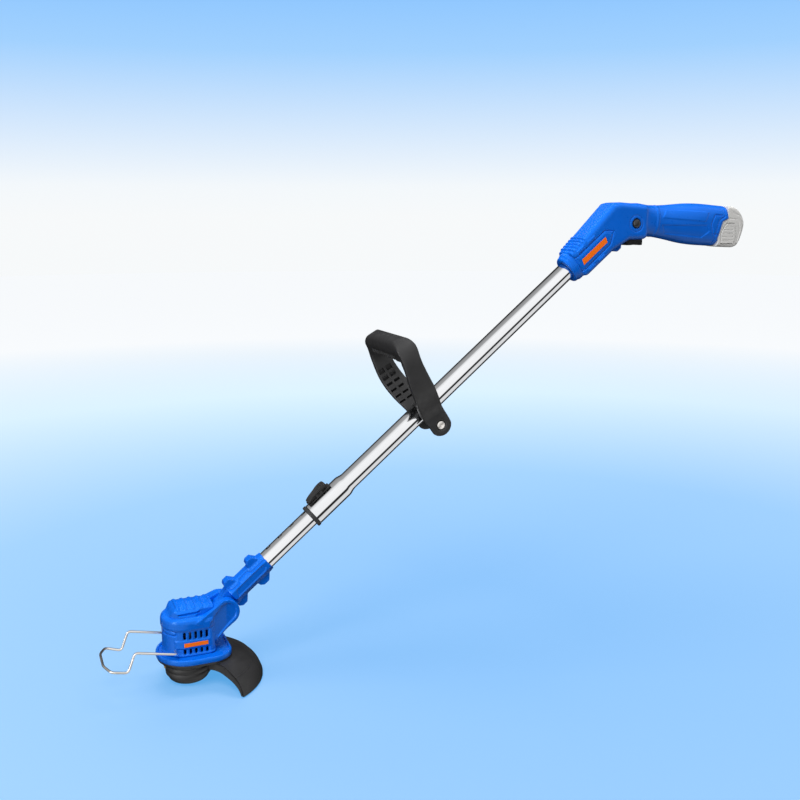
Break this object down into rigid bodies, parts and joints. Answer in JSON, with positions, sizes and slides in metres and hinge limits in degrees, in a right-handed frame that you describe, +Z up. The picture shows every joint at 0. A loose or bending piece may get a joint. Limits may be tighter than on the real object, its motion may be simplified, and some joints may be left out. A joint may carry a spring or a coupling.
{
  "type": "string trimmer",
  "caption": "Cordless string trimmer: tilting motor head with bump-feed spool and rear guard, telescopic shaft with latch, loop assist handle, and a rear handle with trigger and battery.",
  "frame": {"origin": "middle of the bump cap's flat underside, on the spool's axis", "axes": "+Z up along the spool's axis, +X back along the tool towards the user, +Y to the side away from the lock-off button; the tool is symmetric about Y = 0"},
  "size_m": [0.946, 0.154, 0.5964],
  "materials": {
    "blue_plastic": "satin injection-moulded plastic, royal blue, with fine moulded texture on the grip",
    "black_plastic": "matte injection-moulded plastic, charcoal black",
    "polished_tube": "polished chromed steel tube",
    "bright_wire": "bright plated steel",
    "plain_steel": "zinc-plated steel",
    "copper_winding": "enamelled copper winding on a laminated core",
    "brass": "turned brass",
    "magnet": "dark sintered ferrite",
    "battery_plastic": "light warm-grey moulded plastic",
    "line": "round nylon trimmer line, amber",
    "lead_cover": "black PVC cable sheath"
  },
  "bodies": {
    "upper": {"upper_tube": "polished_tube", "tube_bushing": "black_plastic", "latch_bracket": "black_plastic", "latch_pin": "plain_steel", "latch_spring": "plain_steel", "coiled_lead": "lead_cover", "tube_clamp": "black_plastic", "loop_bolt": "bright_wire", "loop_nut": "plain_steel", "handle_left": "blue_plastic", "handle_right": "blue_plastic", "handle_screw_1": "plain_steel", "handle_screw_2": "plain_steel", "handle_screw_3": "plain_steel", "handle_screw_4": "plain_steel", "trigger_switch": "black_plastic", "trigger_spring": "plain_steel", "terminal_block": "black_plastic"},
    "latch": {"latch_lever": "black_plastic"},
    "assist_handle": {"loop_handle": "black_plastic"},
    "trigger_body": {"trigger": "black_plastic"},
    "lock_off": {"lock_off_button": "black_plastic"},
    "battery": {"battery_pack": "battery_plastic"},
    "battery_latch_near": {"battery_latch_left": "battery_plastic"},
    "battery_latch_far": {"battery_latch_right": "battery_plastic"},
    "lower_shaft": {"lower_tube": "polished_tube", "lower_lead": "lead_cover", "socket_left": "blue_plastic", "socket_right": "blue_plastic", "socket_screw_1": "plain_steel", "socket_screw_2": "plain_steel", "socket_screw_3": "plain_steel", "socket_screw_4": "plain_steel"},
    "head": {"motor_housing": "blue_plastic", "top_cap": "blue_plastic", "base_flange": "blue_plastic", "tilt_pin": "plain_steel", "guard": "black_plastic", "guard_screw_1": "plain_steel", "guard_screw_2": "plain_steel", "cutter_blade": "plain_steel", "cutter_screw": "plain_steel", "motor_can": "plain_steel", "motor_end_bell": "black_plastic", "magnet_left": "magnet", "magnet_right": "magnet", "bearing_lower": "plain_steel", "bearing_upper": "plain_steel"},
    "rotor": {"motor_shaft": "plain_steel", "armature": "copper_winding", "cooling_fan": "black_plastic", "drive_hub": "brass", "spool_housing": "black_plastic", "line_eyelet_rear": "brass", "line_eyelet_front": "brass", "bump_spring": "plain_steel"},
    "reel": {"bump_cap": "black_plastic", "line_reel": "black_plastic", "cutting_line": "line"},
    "plant_guard": {"wire_guard": "bright_wire"}
  },
  "joints": [
    {"name": "shaft_telescope", "type": "slide", "parent": "upper", "child": "lower_shaft", "axis": [-0.7727, 0, -0.6347], "range_m": [-0.06, 0.2]},
    {"name": "head_tilt", "type": "hinge", "parent": "lower_shaft", "child": "head", "pos_m": [0.047, 0, 0.0883], "axis": [0, 1, 0], "range_deg": [-60, 30]},
    {"name": "spool_spin", "type": "hinge", "parent": "head", "child": "rotor", "pos_m": [0, 0, 0.03], "axis": [0, 0, 1], "continuous": true},
    {"name": "bump_feed", "type": "slide", "parent": "rotor", "child": "reel", "axis": [0, 0, 1], "range_m": [0, 0.004], "stiffness_N_per_m": 700, "springref_m": -0.006, "deforming": ["bump_spring"]},
    {"name": "plant_guard_fold", "type": "hinge", "parent": "head", "child": "plant_guard", "pos_m": [-0.019, 0, 0.0505], "axis": [0, 1, 0], "range_deg": [0, 95]},
    {"name": "latch_press", "type": "hinge", "parent": "upper", "child": "latch", "pos_m": [0.17508, 0, 0.2248], "axis": [0, 1, 0], "range_deg": [0, 6], "stiffness_Nm_per_rad": 0.6, "springref_deg": -14.32},
    {"name": "assist_handle_tilt", "type": "hinge", "parent": "upper", "child": "assist_handle", "pos_m": [0.34069, 0, 0.30519], "axis": [0, 1, 0], "range_deg": [-30, 30]},
    {"name": "trigger_pull", "type": "hinge", "parent": "upper", "child": "trigger_body", "pos_m": [0.637, 0, 0.55], "axis": [0, -1, 0], "range_deg": [0, 8], "stiffness_Nm_per_rad": 0.8, "springref_deg": -11.46, "deforming": ["trigger_spring"]},
    {"name": "lock_off_push", "type": "slide", "parent": "upper", "child": "lock_off", "axis": [0, 1, 0], "range_m": [0, 0.003], "stiffness_N_per_m": 800, "springref_m": -0.002},
    {"name": "battery_pull", "type": "slide", "parent": "upper", "child": "battery", "axis": [0.998, 0, -0.0628], "range_m": [0, 0.08]},
    {"name": "battery_latch_near_press", "type": "slide", "parent": "battery", "child": "battery_latch_near", "axis": [0, 1, 0], "range_m": [0, 0.0015], "stiffness_N_per_m": 1500, "springref_m": -0.001},
    {"name": "battery_latch_far_press", "type": "slide", "parent": "battery", "child": "battery_latch_far", "axis": [0, -1, 0], "range_m": [0, 0.0015], "stiffness_N_per_m": 1500, "springref_m": -0.001}
  ]
}
